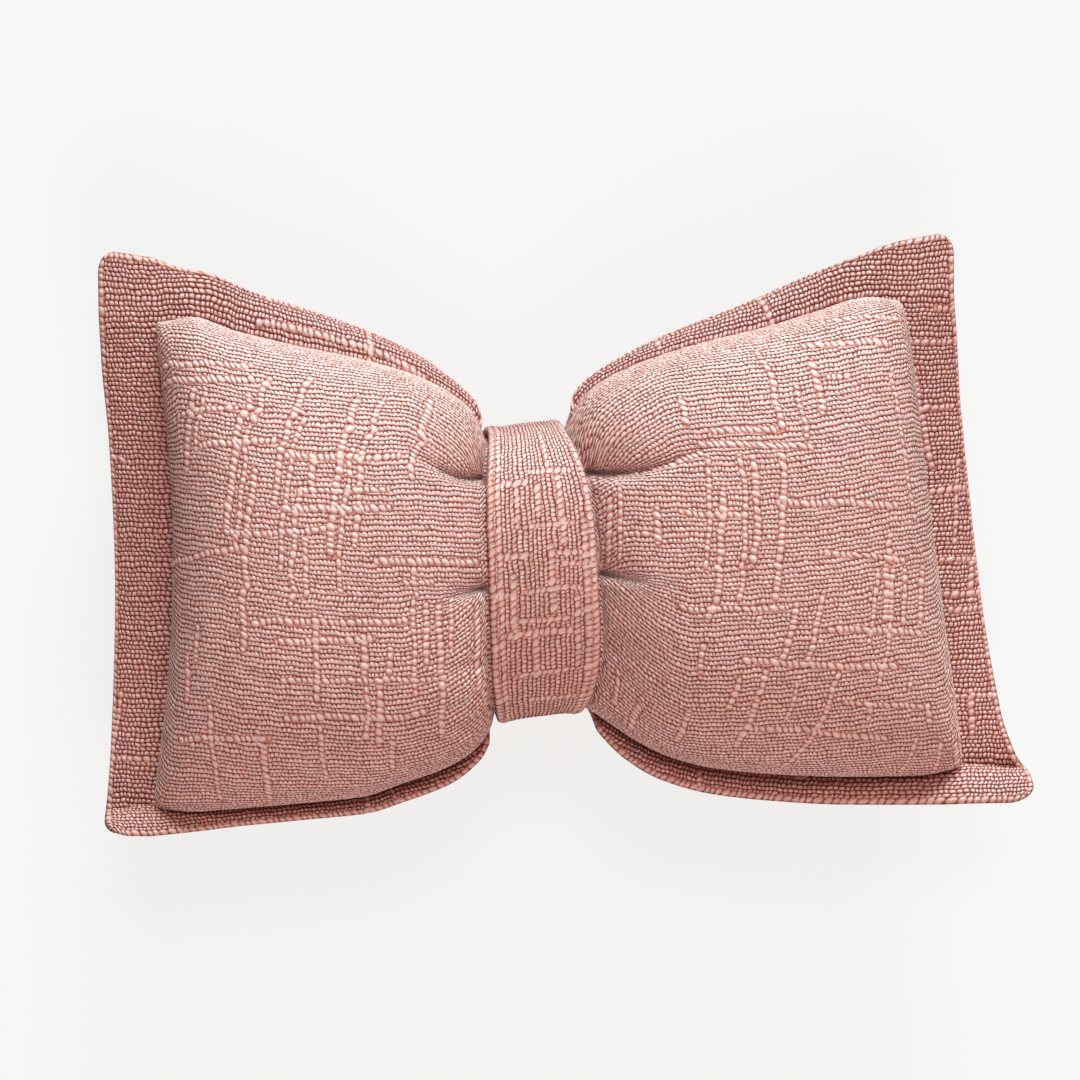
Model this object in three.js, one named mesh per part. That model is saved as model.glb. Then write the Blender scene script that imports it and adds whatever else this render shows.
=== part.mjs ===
// A bow-shaped scatter cushion: a filled rectangular cover with a flat flange all round,
// drawn in at its waist by a loop of the same cloth. It lies on its back.
// Lengths are millimetres. x runs along the cushion, y up its face and z out of its face.
// Sizes along x and y are taken from the middle of the face, and heights from the seam plane.

import * as THREE from "three";

// Driving sizes
const SEAM_HEIGHT = 68; // seam plane above the surface that the back rests on
const FLANGE_THICKNESS = 6; // two layers of thick cloth
const PRESSED_THICKNESS = 2; // the same under the band, where it is squeezed flat
const PRESSED_REACH = 60; // beside the band, over which the flange gets its full thickness
const FOLDED_EDGE = 2.6; // thickness at the very edge of the flange, where the cloth turns
const END_ROUNDING = 96; // length over which a lobe rises from its side seam
const SQUARENESS = { along: 0.86, height: 0.7 }; // 1 is an ellipse, less is fuller at the edge
const BAND_FIT = { besideWaist: 2.6, overWaist: 0.5 }; // room between the waist and the band
const BAND_THICKNESS = 5.2;
const WAIST_BOW = 4; // how squarely the cloth keeps its full width over the waist, 2 is a plain arc

// A crease deepens over its first stretch beside the band and then fades out along its reach
const CREASE_FADE = { rise: 4, power: 1.2 };
const FLANGE_BEND = 0.7; // how much flatter the flange leaves its seam than it ends

// Mesh steps
const ROWS = 38; // across the face from seam to seam
const ROW_CROWDING = 1.15; // over 1 brings the rows closer together in the middle
const FLANGE_STEPS = [0.35, 0.65, 0.87, 1]; // from the seam at 0 to the free edge at 1
const END_STEPS = 8; // columns over the rounding of a lobe's end
const LOBE_STEPS = 8; // columns over the rest of a lobe
const WAIST_STEPS = 5; // columns under the band
const BESIDE_BAND = [1.1, 2.3, 4, 6.6, 10.3, 15.8, 21.8]; // columns at these distances from it
const BAND_STEPS = 56; // round the loop
const NUDGE = { at: 0.5, share: 0.03 }; // small steps that show which way the cloth runs

const COVER_COLOUR = 0xbc8d83;
const BAND_COLOUR = 0xb9897f;

function table(columns, rows) {
  return rows.map((row) => Object.fromEntries(columns.map((name, k) => [name, row[k]])));
}

// Sections along the cushion. "at" is where the section crosses the middle of the face, top and
// bottom are where it meets the seam, front and back are the depths of the filling.
const SECTIONS = table(
  ["at", "topX", "topY", "bottomX", "bottomY", "front", "back"],
  [
    [-228, -230, 137, -236, -163, 73, 75], // left side seam
    [-208, -209, 137, -213, -161, 74, 76],
    [-180, -180, 128, -182, -158, 75, 77],
    [-145, -144, 119, -144, -155, 76, 78],
    [-110, -108, 111, -110, -152, 76, 78],
    [-82, -78, 102, -84, -144, 75, 77],
    [-62, -58, 92.5, -62, -137, 73, 75],
    [-48, -44, 82, -45, -128.5, 70, 71],
    [-42, -38, 73, -36, -120, 66, 66],
    [-38.5, -35, 66, -31, -112, 59, 58],
    [-36, -33, 60.5, -28, -102.5, 50, 50], // left edge of the band
    [-30, -28, 60.5, -22, -101.5, 50, 50],
    [-5, -9.5, 62.5, -2, -98.5, 50, 50],
    [25, 9, 64, 18, -97, 50, 50],
    [31, 14, 64, 24, -97, 50, 50], // right edge of the band
    [33.5, 17.5, 71, 28, -102, 59, 58],
    [37, 20.5, 78, 33, -105, 66, 66],
    [44, 28, 89, 42, -111.5, 70, 71],
    [57, 43, 99.3, 56, -123, 73, 75],
    [76, 66, 109.3, 76, -134, 75, 77],
    [104, 97, 118.8, 104, -142, 76, 78],
    [140, 134, 127.5, 141, -147, 76, 78],
    [175, 166, 137, 181, -150, 75, 77],
    [210, 195, 145, 225, -151, 74, 76],
    [240, 219, 146, 261, -151, 73, 75], // right side seam
  ],
);

// How far the flange reaches out from the top and bottom seams, and how far its free edge
// stands forward (positive) or hangs back (negative).
const FLANGE = table(
  ["at", "topOut", "topLift", "bottomOut", "bottomLift"],
  [
    [-228, 34.5, -4, 9, 25],
    [-208, 26.5, -9, 9, 25],
    [-180, 22.5, -14, 8.8, 25],
    [-130, 16.5, -20, 8.8, 25],
    [-82, 8.5, -20, 9.5, 25],
    [-60, 5, -17, 9, 22],
    [-46, 4, -11, 7, 15],
    [-42, 2.8, -5, 5.5, 9],
    [-39, 0.5, 0, 1.5, 0],
    [-37, 0.5, 0, 0.5, 0],
    [32, 0.5, 0, 0.5, 0],
    [34.5, 0.5, 0, 1.5, 0],
    [38, 2.4, -4, 5, 7],
    [41, 3.5, -9, 8, 15],
    [58, 4, -12, 9.5, 22],
    [76, 5, -15, 9.8, 25],
    [104, 7.6, -18, 9.8, 25],
    [140, 13, -18, 9.8, 25],
    [175, 18, -15, 9.8, 25],
    [200, 21, -11, 9.8, 25],
    [225, 29, -6, 9.8, 25],
    [240, 32.5, -4, 9.8, 25],
  ],
);

// The same for the flange beside the two side seams, from the bottom seam (-1) to the top (1)
const SIDE_FLANGE = table(
  ["height", "leftOut", "leftLift", "rightOut", "rightLift"],
  [
    [-1, 27, 0, 39, 3],
    [-0.93, 26.5, -4, 33, 6],
    [-0.74, 26, -8, 27.5, 2],
    [-0.28, 26, -11, 25.5, -8],
    [0.5, 29, -9, 27.5, -10],
    [0.83, 31.5, -6, 30.5, -6],
    [1, 31.5, -4, 31.5, -3],
  ],
);

// The tips of the flange: how far each is pulled up or down, and where its rounding starts
const TIPS = {
  left: { top: { up: 5, square: 0.6 }, bottom: { up: 1, square: 0.42 } },
  right: { top: { up: 5.5, square: 0.6 }, bottom: { up: 0.5, square: 0.55 } },
};

// Creases that the band gathers into the lobes. "start" is the height on the face where a crease
// leaves the band and "bend" turns it up or down with the square of the distance.
const CREASES = table(
  ["side", "face", "start", "bend", "reach", "depth", "width"],
  [
    ["left", "front", 42, 0.009, 52, 13, 9],
    ["left", "front", -21, -0.004, 26, 7, 9],
    ["left", "front", -66, -0.006, 40, 5, 10],
    ["right", "front", 45, 0.005, 72, 13, 9],
    ["right", "front", -13, -0.004, 28, 7, 9],
    ["right", "front", -60, -0.006, 40, 5, 10],
    ["left", "back", 34, 0.006, 48, 9, 11],
    ["left", "back", -48, -0.006, 52, 10, 11],
    ["right", "back", 30, 0.005, 56, 10, 11],
    ["right", "back", -44, -0.006, 44, 9, 11],
  ],
);

// Cross-section of the band's cloth loop: across its width (-1 to 1) and out from the waist
const BAND_PROFILE = table(
  ["across", "out"],
  [
    [-0.94, 0],
    [-1, 0.35],
    [-0.98, 0.8],
    [-0.92, 1],
    [-0.8, 0.98],
    [-0.68, 0.86],
    [0, 0.92],
    [0.68, 0.86],
    [0.8, 0.98],
    [0.92, 1],
    [0.98, 0.8],
    [1, 0.35],
    [0.94, 0],
    [0, 0],
  ],
);
const BAND_EDGES = { left: -35, right: 30 };

// A smooth curve through one column of a table, which never swings past its values
function curve(rows, column, along = "at") {
  const x = rows.map((row) => row[along]);
  const y = rows.map((row) => row[column]);
  const slope = (k) => (y[k + 1] - y[k]) / (x[k + 1] - x[k]);
  const tangent = y.map((_, k) => {
    if (k === 0) return slope(0);
    if (k === y.length - 1) return slope(k - 1);
    const before = slope(k - 1);
    const after = slope(k);
    return before * after <= 0 ? 0 : (2 * before * after) / (before + after);
  });
  return (at) => {
    const last = x.length - 2;
    let k = 0;
    while (k < last && at > x[k + 1]) k += 1;
    const step = x[k + 1] - x[k];
    const s = Math.min(Math.max((at - x[k]) / step, 0), 1);
    const rise = y[k + 1] - y[k];
    const start = tangent[k] * step;
    const end = tangent[k + 1] * step;
    return y[k] + s * (start + s * (3 * rise - 2 * start - end + s * (start + end - 2 * rise)));
  };
}

function curves(rows, along) {
  const names = Object.keys(rows[0]).filter((name) => name !== along);
  return Object.fromEntries(names.map((name) => [name, curve(rows, name, along)]));
}

const section = curves(SECTIONS, "at");
const flange = curves(FLANGE, "at");
const sideFlange = curves(SIDE_FLANGE, "height");

const LEFT_SEAM = SECTIONS[0].at;
const RIGHT_SEAM = SECTIONS[SECTIONS.length - 1].at;

const mix = (from, to, share) => from + (to - from) * share;
const clamp = (value, low, high) => Math.min(Math.max(value, low), high);
const signedPower = (value, power) => Math.sign(value) * Math.abs(value) ** power;

// Height on the face, from -1 at the bottom seam to 1 at the top, for an even step "across" it
const heightShare = (across) => signedPower(Math.sin((across * Math.PI) / 2), SQUARENESS.along);

const outsideBand = (at) => Math.max(BAND_EDGES.left - at, at - BAND_EDGES.right, 0);

// Place on the seam plane: "across" runs from the bottom seam (-1) to the top seam (1)
function onSeamPlane(at, across) {
  const height = heightShare(across);
  const share = (1 + height) / 2;
  const middle = (section.topX(at) + section.bottomX(at)) / 2;
  const power = mix(WAIST_BOW, 2, Math.min(outsideBand(at) / END_ROUNDING, 1));
  const bow = (at - middle) * (1 - Math.abs(height) ** power);
  return {
    x: mix(section.bottomX(at), section.topX(at), share) + bow,
    y: mix(section.bottomY(at), section.topY(at), share),
  };
}

// How much of its full depth the filling has this far from the side seams
function endFullness(at) {
  const inside = Math.min(at - LEFT_SEAM, RIGHT_SEAM - at);
  if (inside >= END_ROUNDING) return 1;
  const left = 1 - Math.max(inside, 0) / END_ROUNDING;
  return (1 - left ** (2 / SQUARENESS.along)) ** (SQUARENESS.height / 2);
}

function creaseDepth(face, at, y) {
  let depth = 0;
  for (const crease of CREASES) {
    const distance = crease.side === "left" ? BAND_EDGES.left - at : at - BAND_EDGES.right;
    if (crease.face !== face || distance <= 0 || distance >= crease.reach) continue;
    const middle = crease.start + crease.bend * distance * distance;
    const rise = Math.min(distance / CREASE_FADE.rise, 1);
    const fade = rise * (1 - distance / crease.reach) ** CREASE_FADE.power;
    depth += crease.depth * fade * Math.exp(-(((y - middle) / crease.width) ** 2));
  }
  return depth;
}

// Depth of the filling in front of the seam plane or behind it
function fillingDepth(face, at, across, y) {
  const round = Math.max(Math.cos((across * Math.PI) / 2), 0) ** SQUARENESS.height;
  const full = round * endFullness(at);
  return Math.max(full * section[face](at) - full * creaseDepth(face, at, y), 0);
}

// Where the flange runs between its seam (share 0) and its free edge (share 1). It leaves the
// seam flatter than it ends, the more so the further it turns.
function flangeRun(out, lift, share) {
  const turn = (Math.abs(lift) / Math.hypot(out, lift)) * (1 - share);
  return { out: out * share * (1 + turn), lift: lift * share * (1 - FLANGE_BEND * turn) };
}

// Rounds a tip of the flange: both shares are 0 at the seam and 1 at the free edge
function roundTip(p, q, square) {
  if (p <= square || q <= square) return [p, q];
  const a = (p - square) / (1 - square);
  const b = (q - square) / (1 - square);
  const toCircle = (v, other) => v * Math.sqrt(1 - (other * other) / 2);
  return [square + (1 - square) * toCircle(a, b), square + (1 - square) * toCircle(b, a)];
}

// Middle layer of the flange: p reaches out from a side seam and q from the top or bottom seam,
// both from 0 at the seam to 1 at the free edge
function flangeMiddle(at, across, p, q) {
  const side = at < 0 ? "left" : "right";
  const end = across > 0 ? "top" : "bottom";
  const away = end === "top" ? 1 : -1;
  const base = onSeamPlane(at, across);
  const point = new THREE.Vector3(base.x, base.y + TIPS[side][end].up * p * q, 0);
  if (q > 0) {
    const before = onSeamPlane(Math.max(at - NUDGE.at, LEFT_SEAM), across);
    const after = onSeamPlane(Math.min(at + NUDGE.at, RIGHT_SEAM), across);
    const outward = new THREE.Vector2(before.y - after.y, after.x - before.x).normalize();
    const run = flangeRun(flange[end + "Out"](at), flange[end + "Lift"](at), q);
    point.x += outward.x * away * run.out * (1 - Math.min(p, 1));
    point.y += mix(outward.y, 1, Math.min(p, 1)) * away * run.out;
    point.z += run.lift;
  }
  if (p > 0) {
    const height = heightShare(across);
    const run = flangeRun(sideFlange[side + "Out"](height), sideFlange[side + "Lift"](height), p);
    point.x += (side === "left" ? -1 : 1) * run.out;
    point.z += run.lift;
  }
  return point;
}

// A point of the flange's middle layer and the way its front faces there
function onFlange(column, row) {
  const side = column.at < 0 ? "left" : "right";
  const end = row.across > 0 ? "top" : "bottom";
  const [p, q] = roundTip(column.out, row.out, TIPS[side][end].square);
  const point = flangeMiddle(column.at, row.across, p, q);
  if (p === 0 && q === 0) return { point, normal: new THREE.Vector3(0, 0, 1) };
  const step = ({ at = 0, across = 0, outP = 0, outQ = 0 }) => {
    const moved = (way) =>
      flangeMiddle(
        clamp(column.at + way * at, LEFT_SEAM, RIGHT_SEAM),
        clamp(row.across + way * across, -1, 1),
        Math.max(p + way * outP, 0),
        Math.max(q + way * outQ, 0),
      );
    return moved(1).sub(moved(-1));
  };
  const outP = side === "left" ? -NUDGE.share : NUDGE.share;
  const outQ = end === "bottom" ? -NUDGE.share : NUDGE.share;
  const alongX = step(p > 0 ? { outP } : { at: NUDGE.at });
  const alongY = step(q > 0 ? { outQ } : { across: NUDGE.share });
  return { point, normal: alongX.cross(alongY).normalize() };
}

function flangeHalfThickness(column, row) {
  const open = clamp(outsideBand(column.at) / PRESSED_REACH, 0, 1);
  const atEdge = Math.max(column.out, row.out) === 1;
  return mix(PRESSED_THICKNESS, atEdge ? FOLDED_EDGE : FLANGE_THICKNESS, open) / 2;
}

// A point of the cover on one face, in the object's own frame
function onCover(face, column, row) {
  const sign = face === "front" ? 1 : -1;
  const half = flangeHalfThickness(column, row);
  const onSeam = Math.abs(row.across) === 1 || column.at === LEFT_SEAM || column.at === RIGHT_SEAM;
  if (onSeam) {
    const { point, normal } = onFlange(column, row);
    point.addScaledVector(normal, sign * half);
    point.z += SEAM_HEIGHT;
    return point;
  }
  const base = onSeamPlane(column.at, row.across);
  const depth = half + fillingDepth(face, column.at, row.across, base.y);
  return new THREE.Vector3(base.x, base.y, Math.max(SEAM_HEIGHT + sign * depth, 0));
}

function evenly(from, to, count) {
  return Array.from({ length: count }, (_, k) => mix(from, to, k / count));
}

// Columns along the cushion: flange, lobe, waist, lobe, flange
function coverColumns() {
  const rise = Array.from({ length: END_STEPS }, (_, k) => {
    const angle = ((k / END_STEPS) * Math.PI) / 2;
    return END_ROUNDING * (1 - Math.cos(angle) ** SQUARENESS.along);
  });
  const { left, right } = BAND_EDGES;
  const farthest = BESIDE_BAND[BESIDE_BAND.length - 1];
  const covered = [
    ...rise.map((inward) => LEFT_SEAM + inward),
    ...evenly(LEFT_SEAM + END_ROUNDING, left - farthest, LOBE_STEPS),
    ...BESIDE_BAND.map((distance) => left - distance).reverse(),
    ...evenly(left, right, WAIST_STEPS),
    right,
    ...BESIDE_BAND.map((distance) => right + distance),
    ...evenly(right + farthest, RIGHT_SEAM - END_ROUNDING, LOBE_STEPS).slice(1),
    RIGHT_SEAM - END_ROUNDING,
    ...rise.map((inward) => RIGHT_SEAM - inward).reverse(),
  ];
  return [
    ...FLANGE_STEPS.map((out) => ({ at: LEFT_SEAM, out })).reverse(),
    ...covered.map((at) => ({ at, out: 0 })),
    ...FLANGE_STEPS.map((out) => ({ at: RIGHT_SEAM, out })),
  ];
}

// Rows across the cushion: flange, face from seam to seam, flange
function coverRows() {
  const inside = Array.from({ length: ROWS + 1 }, (_, k) => {
    return { across: signedPower((2 * k) / ROWS - 1, ROW_CROWDING), out: 0 };
  });
  return [
    ...FLANGE_STEPS.map((out) => ({ across: -1, out })).reverse(),
    ...inside,
    ...FLANGE_STEPS.map((out) => ({ across: 1, out })),
  ];
}

function meshFrom(name, points, triangles, colour) {
  const geometry = new THREE.BufferGeometry().setFromPoints(points);
  geometry.setIndex(triangles);
  geometry.computeVertexNormals();
  const material = new THREE.MeshStandardMaterial({ color: colour, roughness: 0.9, metalness: 0 });
  const mesh = new THREE.Mesh(geometry, material);
  mesh.name = name;
  return mesh;
}

// The filled cover: a front and a back skin that meet round the edge of the flange
function makeCushion() {
  const columns = coverColumns();
  const rows = coverRows();
  const points = [];
  const triangles = [];
  for (const face of ["front", "back"]) {
    for (const column of columns) {
      for (const row of rows) points.push(onCover(face, column, row));
    }
  }
  const index = (face, i, j) => (face * columns.length + i) * rows.length + j;
  const quad = (a, b, c, d) => triangles.push(a, b, c, a, c, d);
  const lastColumn = columns.length - 1;
  const lastRow = rows.length - 1;
  for (let i = 0; i < lastColumn; i += 1) {
    for (let j = 0; j < lastRow; j += 1) {
      quad(index(0, i, j), index(0, i + 1, j), index(0, i + 1, j + 1), index(0, i, j + 1));
      quad(index(1, i, j), index(1, i, j + 1), index(1, i + 1, j + 1), index(1, i + 1, j));
    }
  }
  const edge = (i, j, k, l) => quad(index(1, i, j), index(1, k, l), index(0, k, l), index(0, i, j));
  for (let i = 0; i < lastColumn; i += 1) {
    edge(i, 0, i + 1, 0);
    edge(i + 1, lastRow, i, lastRow);
  }
  for (let j = 0; j < lastRow; j += 1) {
    edge(0, j + 1, 0, j);
    edge(lastColumn, j, lastColumn, j + 1);
  }
  return meshFrom("cushion", points, triangles, COVER_COLOUR);
}

// The band: a closed loop of cloth round the waist
function makeBand() {
  const points = [];
  const triangles = [];
  const width = BAND_EDGES.right - BAND_EDGES.left;
  const sides = BAND_PROFILE.length;
  for (let k = 0; k < BAND_STEPS; k += 1) {
    const turn = (2 * k) / BAND_STEPS;
    const face = turn < 1 ? "front" : "back";
    const across = turn < 1 ? 1 - 2 * turn : 2 * turn - 3;
    const round = Math.max(Math.cos((across * Math.PI) / 2), 0) ** SQUARENESS.height;
    for (const { across: share, out } of BAND_PROFILE) {
      const at = BAND_EDGES.left + (width * (1 + share)) / 2;
      const waist = onSeamPlane(at, across);
      const cloth = out * BAND_THICKNESS;
      const beside = (BAND_FIT.besideWaist + cloth) * heightShare(across);
      const over = section[face](at) + PRESSED_THICKNESS / 2 + BAND_FIT.overWaist + cloth;
      const z = SEAM_HEIGHT + (face === "front" ? 1 : -1) * round * over;
      points.push(new THREE.Vector3(waist.x, waist.y + beside, z));
    }
  }
  for (let k = 0; k < BAND_STEPS; k += 1) {
    const next = (k + 1) % BAND_STEPS;
    for (let m = 0; m < sides; m += 1) {
      const beside = (m + 1) % sides;
      const a = k * sides + m;
      const b = k * sides + beside;
      const c = next * sides + beside;
      const d = next * sides + m;
      triangles.push(a, c, b, a, d, c);
    }
  }
  return meshFrom("band", points, triangles, BAND_COLOUR);
}

// The origin is below the middle of the whole object, on the surface that it rests on
const group = new THREE.Group();
group.add(makeCushion(), makeBand());
const box = new THREE.Box3().setFromObject(group);
const middle = box.getCenter(new THREE.Vector3());
group.position.set(-middle.x, -middle.y, 0);

export default group;
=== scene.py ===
"""The looks of a bow-shaped pillow: a filled cover with a flat flange, drawn in by a band.

Shapes are worked out in millimetres in the pillow's own frame, as the solids are: x along the
pillow, y up its face and z out of its face, measured from the seam plane. They are placed in
metres when a mesh is made.
"""
from math import cos, pi, radians, sin

import bpy
import numpy as np
from mathutils import Matrix, Vector


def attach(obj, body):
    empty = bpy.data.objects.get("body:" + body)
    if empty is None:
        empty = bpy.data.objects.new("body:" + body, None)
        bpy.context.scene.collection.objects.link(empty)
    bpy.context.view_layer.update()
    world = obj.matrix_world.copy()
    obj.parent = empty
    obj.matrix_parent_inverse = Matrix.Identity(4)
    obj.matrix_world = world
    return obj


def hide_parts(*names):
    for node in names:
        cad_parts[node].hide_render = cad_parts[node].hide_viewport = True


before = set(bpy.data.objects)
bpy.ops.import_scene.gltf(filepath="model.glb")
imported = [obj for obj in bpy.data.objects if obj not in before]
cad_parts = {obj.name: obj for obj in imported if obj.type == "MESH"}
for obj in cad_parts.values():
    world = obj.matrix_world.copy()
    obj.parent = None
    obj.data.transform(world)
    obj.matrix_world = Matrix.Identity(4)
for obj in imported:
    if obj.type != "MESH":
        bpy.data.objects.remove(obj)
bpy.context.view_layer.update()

# --- Camera ---
MM = 0.001
SEAM_HEIGHT = 68.0  # mm from the floor to the seam plane
PLACE = np.array([-18.546, -3.687, SEAM_HEIGHT])  # the pillow's frame in the object's, in mm

# angles in degrees, distance and frame_width in metres, sensor in millimetres
CAMERA = {"elevation": 9.0, "yaw": 5.0, "distance": 2.2, "sensor": 36.0, "frame_width": 0.65016}


def camera_axes():
    """The directions to the right, up and away from the pillow towards the camera."""
    rise, turn = radians(CAMERA["elevation"]), radians(CAMERA["yaw"])
    away = np.array((-sin(turn) * cos(rise), sin(rise), cos(turn) * cos(rise)))
    right = np.cross((0, 1, 0), away)
    right /= np.linalg.norm(right)
    return right, np.cross(away, right), away


def make_camera():
    right, up, away = (Vector(axis) for axis in camera_axes())
    data = bpy.data.cameras.new("camera")
    data.sensor_width = CAMERA["sensor"]
    data.lens = CAMERA["sensor"] * CAMERA["distance"] / CAMERA["frame_width"]
    camera = bpy.data.objects.new("camera", data)
    place = Vector(PLACE * MM) + away * CAMERA["distance"]
    axes = Matrix((right, up, away)).transposed().to_4x4()
    camera.matrix_world = Matrix.Translation(place) @ axes
    bpy.context.scene.collection.objects.link(camera)
    bpy.context.scene.camera = camera


make_camera()

# --- The cover's shape: its solid's sections, brought closer to the photo ---
FLANGE_THICKNESS = 6.0
PRESSED_THICKNESS = 2.0  # of the flange under the band
PRESSED_REACH = 60.0  # mm beside the band over which the flange gets its full thickness
END_ROUNDING = 96.0  # mm over which a lobe rises from its side seam
ALONG, HEIGHT = 0.86, 0.7  # squareness: 1 is an ellipse, less is fuller at the edge
BESIDE_WAIST, OVER_WAIST = 2.6, 0.5  # mm between the waist and the band
BAND_THICKNESS = 5.2
WAIST_BOW = 4.0  # how squarely the cloth keeps its width over the waist, 2 is a plain arc
CREASE_RISE, CREASE_POWER = 3.0, 0.95
CREASE_ABOVE, CREASE_BELOW = 1.0, 0.22  # shares of a crease's width: it is sharper below
CREASE_POWER_ACROSS = 1.05  # 2 is soft, 1 is a sharp fold
FLANGE_BEND = 0.7  # how much flatter the flange leaves its seam than it ends
BAND_LEFT, BAND_RIGHT = -35.0, 30.0

SECTIONS = (
    ("at", "topX", "topY", "bottomX", "bottomY", "front", "back"),
    (-228, -230, 137, -236, -163, 73, 75),
    (-208, -209, 137, -213, -161, 74, 76),
    (-180, -180, 128, -182, -158, 75, 77),
    (-145, -144, 119, -144, -155, 76, 78),
    (-110, -108, 111, -110, -152, 76, 78),
    (-82, -78, 102, -84, -144, 73, 77),
    (-62, -58, 92.5, -62, -137, 68.5, 75),
    (-48, -44, 82, -45, -128.5, 62, 71),
    (-42, -38, 73, -36, -120, 57, 66),
    (-38.5, -35, 66, -31, -112, 53.5, 58),
    (-36, -33, 60.5, -28, -102.5, 50, 50),
    (-30, -28, 60.5, -22, -101.5, 50, 50),
    (-5, -9.5, 62.5, -2, -98.5, 50, 50),
    (25, 9, 64, 18, -97, 50, 50),
    (31, 14, 64, 24, -97, 50, 50),
    (33.5, 17.5, 71, 28, -102, 53.5, 58),
    (37, 20.5, 78, 33, -105, 57, 66),
    (44, 28, 89, 42, -111.5, 62, 71),
    (57, 43, 99.3, 56, -121, 68.5, 75),
    (76, 66, 109.3, 76, -131, 73, 77),
    (104, 97, 118.8, 104, -138.5, 76, 78),
    (140, 134, 127.5, 141, -143, 76, 78),
    (175, 166, 137, 181, -145.5, 75, 77),
    (210, 195, 145, 225, -146.5, 74, 76),
    (240, 219, 146, 261, -147, 73, 75),
)
FLANGE = (
    ("at", "topOut", "topLift", "bottomOut", "bottomLift"),
    (-228, 34.5, -4, 9, 25),
    (-208, 26.5, -9, 9, 25),
    (-180, 22.5, -14, 8.8, 25),
    (-130, 16.5, -20, 8.8, 25),
    (-82, 8.5, -20, 9.5, 25),
    (-60, 5, -17, 9, 22),
    (-46, 4, -11, 7, 15),
    (-42, 2.8, -5, 5.5, 9),
    (-39, 0.5, 0, 1.5, 0),
    (-37, 0.5, 0, 0.5, 0),
    (32, 0.5, 0, 0.5, 0),
    (34.5, 0.5, 0, 1.5, 0),
    (38, 2.4, -4, 5, 7),
    (41, 3.5, -9, 8, 15),
    (58, 4, -12, 12, 22),
    (76, 5, -15, 13.5, 25),
    (104, 7.6, -18, 14.5, 25),
    (140, 13, -18, 15, 25),
    (175, 18, -15, 15.5, 25),
    (200, 21, -11, 15.5, 25),
    (225, 29, -6, 15.5, 25),
    (240, 32.5, -4, 15, 25),
)
SIDE_FLANGE = (
    ("height", "leftOut", "leftLift", "rightOut", "rightLift"),
    (-1, 27, 0, 39, 3),
    (-0.93, 26.5, -4, 33, 6),
    (-0.74, 26, -8, 27.5, 2),
    (-0.28, 26, -11, 25.5, -8),
    (0.5, 29, -9, 27.5, -10),
    (0.83, 31.5, -6, 30.5, -6),
    (1, 31.5, -4, 31.5, -3),
)
# how far each tip of the flange is raised, and how square it is
TIPS = {
    ("left", "top"): (5, 0.6),
    ("left", "bottom"): (1, 0.42),
    ("right", "top"): (5.5, 0.6),
    ("right", "bottom"): (0.5, 0.55),
}
# side, face, start, bend, reach, depth, width
CREASES = (
    ("left", "front", 42, 0.009, 58, 16, 10),
    ("left", "front", -21, -0.004, 26, 9, 8),
    ("left", "front", -66, -0.006, 40, 2.5, 14),
    ("right", "front", 45, 0.0045, 76, 16, 10),
    ("right", "front", -13, -0.004, 28, 9, 8),
    ("right", "front", -60, -0.006, 40, 2.5, 14),
    ("left", "back", 34, 0.006, 48, 9, 11),
    ("left", "back", -48, -0.006, 52, 10, 11),
    ("right", "back", 30, 0.005, 56, 10, 11),
    ("right", "back", -44, -0.006, 44, 9, 11),
)


def curve(xs, ys):
    """A smooth curve through points, which never swings past their values."""
    xs, ys = np.array(xs, float), np.array(ys, float)
    steps = np.diff(xs)
    slopes = np.diff(ys) / steps
    before, after = slopes[:-1], slopes[1:]
    same_way = before * after > 0
    harmonic = 2 * before * after / np.where(same_way, before + after, 1)
    tangents = np.concatenate(([slopes[0]], np.where(same_way, harmonic, 0), [slopes[-1]]))

    def value(at):
        k = np.clip(np.searchsorted(xs, at, side="left") - 1, 0, len(xs) - 2)
        step, low, rise = steps[k], ys[k], ys[k + 1] - ys[k]
        s = np.clip((at - xs[k]) / step, 0, 1)
        start, end = tangents[k] * step, tangents[k + 1] * step
        return low + s * (start + s * (3 * rise - 2 * start - end + s * (start + end - 2 * rise)))

    return value


def curves(table):
    """A curve over a table's first column for each of the others; its first row names them."""
    names, *rows = table
    columns = list(zip(*rows))
    return {name: curve(columns[0], columns[k]) for k, name in enumerate(names) if k}


section = curves(SECTIONS)
flange = curves(FLANGE)
side_flange = curves(SIDE_FLANGE)
SEAMS = {"left": -228.0, "right": 240.0}
SIDE_BOW = {"left": 8.0, "right": 3.0}  # mm that the middle of a side seam is drawn in
BOW_REACH = 90.0
CORNER_CUT = 3.0  # mm that the corners of the seams are drawn in, which makes them round
CORNER_REACH = 26.0
CORNER_POWER = 14


def mix(low, high, share):
    return low + (high - low) * share


def signed_power(value, power):
    return np.sign(value) * np.abs(value) ** power


def smooth(low, high, value):
    share = np.clip((value - low) / (high - low), 0, 1)
    return share * share * (3 - 2 * share)


def height_share(across):
    return signed_power(np.sin(across * pi / 2), ALONG)


def outside_band(at):
    return np.maximum(np.maximum(BAND_LEFT - at, at - BAND_RIGHT), 0)


def half_thickness(at):
    """Half the thickness of the cover's two layers, which the band presses flat."""
    return mix(PRESSED_THICKNESS, FLANGE_THICKNESS, np.clip(outside_band(at) / PRESSED_REACH, 0, 1)) / 2


def corner_cut(at, height):
    """How far a place near a corner of the seams is moved along the pillow and up its face."""
    left, right = at - SEAMS["left"], SEAMS["right"] - at
    cut = CORNER_CUT * np.abs(height) ** CORNER_POWER * smooth(CORNER_REACH, 0, np.minimum(left, right))
    return np.where(left < right, cut, -cut), -np.sign(height) * cut


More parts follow.
